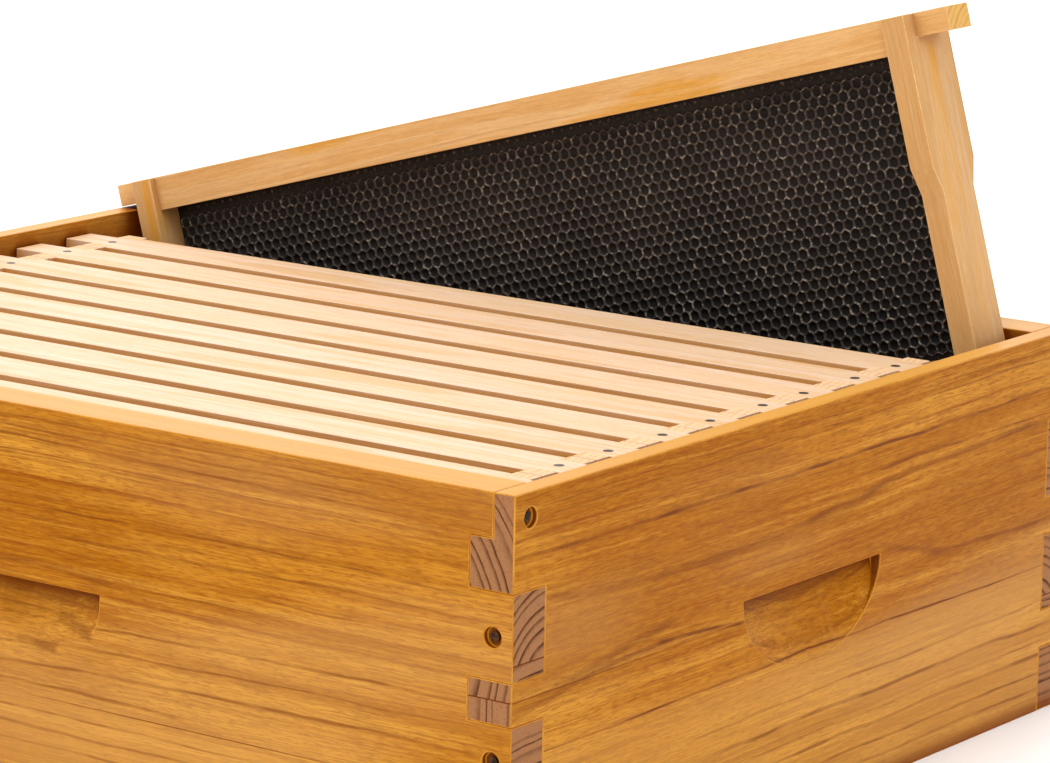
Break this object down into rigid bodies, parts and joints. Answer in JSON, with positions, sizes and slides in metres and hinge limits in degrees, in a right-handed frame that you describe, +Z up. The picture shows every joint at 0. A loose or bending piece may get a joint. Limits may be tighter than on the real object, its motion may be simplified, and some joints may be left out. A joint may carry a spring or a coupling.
{
  "type": "langstroth hive box",
  "caption": "Finger-jointed pine beehive super with hand holds, hanging frames of black comb foundation that lift out, and one frame leaning out of its bay.",
  "frame": {"origin": "centre of the box's footprint, on the plane that the boards' bottom edges stand on", "axes": "+X along the frames towards the front end board, +Y towards the left side board, +Z up"},
  "size_m": [0.5073, 0.4128, 0.3098],
  "materials": {
    "side_boards": "satin wax",
    "end_boards": "satin wax",
    "top_bars": "planed, unfinished",
    "frame_bars": "planed, unfinished",
    "foundation": "glossy, moulded cells",
    "nails": "dull zinc"
  },
  "bodies": {
    "hive_box": {"right_side_board": "side_boards", "left_side_board": "side_boards", "front_end_board": "end_boards", "rear_end_board": "end_boards", "corner_nails": "nails"},
    "frame_1": {"top_bar_1": "top_bars", "end_bars_1": "frame_bars", "bottom_bar_1": "frame_bars", "foundation_1": "foundation", "frame_nails_1": "nails"},
    "frame_2": {"top_bar_2": "top_bars", "end_bars_2": "frame_bars", "bottom_bar_2": "frame_bars", "foundation_2": "foundation", "frame_nails_2": "nails"},
    "frame_3": {"top_bar_3": "top_bars", "end_bars_3": "frame_bars", "bottom_bar_3": "frame_bars", "foundation_3": "foundation", "frame_nails_3": "nails"},
    "frame_4": {"top_bar_4": "top_bars", "end_bars_4": "frame_bars", "bottom_bar_4": "frame_bars", "foundation_4": "foundation", "frame_nails_4": "nails"},
    "frame_5": {"top_bar_5": "top_bars", "end_bars_5": "frame_bars", "bottom_bar_5": "frame_bars", "foundation_5": "foundation", "frame_nails_5": "nails"},
    "frame_6": {"top_bar_6": "top_bars", "end_bars_6": "frame_bars", "bottom_bar_6": "frame_bars", "foundation_6": "foundation", "frame_nails_6": "nails"},
    "frame_7": {"top_bar_7": "top_bars", "end_bars_7": "frame_bars", "bottom_bar_7": "frame_bars", "foundation_7": "foundation", "frame_nails_7": "nails"},
    "frame_8": {"top_bar_8": "top_bars", "end_bars_8": "frame_bars", "bottom_bar_8": "frame_bars", "foundation_8": "foundation", "frame_nails_8": "nails"},
    "frame_9": {"top_bar_9": "top_bars", "end_bars_9": "frame_bars", "bottom_bar_9": "frame_bars", "foundation_9": "foundation", "frame_nails_9": "nails"},
    "frame_10": {"top_bar_10": "top_bars", "end_bars_10": "frame_bars", "bottom_bar_10": "frame_bars", "foundation_10": "foundation", "frame_nails_10": "nails"}
  },
  "joints": [
    {"name": "frame_1_lift", "type": "slide", "parent": "hive_box", "child": "frame_1", "axis": [0, 0, 1], "range_m": [0, 0.2]},
    {"name": "frame_2_lift", "type": "slide", "parent": "hive_box", "child": "frame_2", "axis": [0, 0, 1], "range_m": [0, 0.2]},
    {"name": "frame_3_lift", "type": "slide", "parent": "hive_box", "child": "frame_3", "axis": [0, 0, 1], "range_m": [0, 0.2]},
    {"name": "frame_4_lift", "type": "slide", "parent": "hive_box", "child": "frame_4", "axis": [0, 0, 1], "range_m": [0, 0.2]},
    {"name": "frame_5_lift", "type": "slide", "parent": "hive_box", "child": "frame_5", "axis": [0, 0, 1], "range_m": [0, 0.2]},
    {"name": "frame_6_lift", "type": "slide", "parent": "hive_box", "child": "frame_6", "axis": [0, 0, 1], "range_m": [0, 0.2]},
    {"name": "frame_7_lift", "type": "slide", "parent": "hive_box", "child": "frame_7", "axis": [0, 0, 1], "range_m": [0, 0.2]},
    {"name": "frame_8_lift", "type": "slide", "parent": "hive_box", "child": "frame_8", "axis": [0, 0, 1], "range_m": [0, 0.2]},
    {"name": "frame_9_lift", "type": "slide", "parent": "hive_box", "child": "frame_9", "axis": [0, 0, 1], "range_m": [0, 0.2]},
    {"name": "frame_10_lift", "type": "slide", "parent": "hive_box", "child": "frame_10", "axis": [0, 0, 1], "range_m": [0, 0.2]}
  ]
}
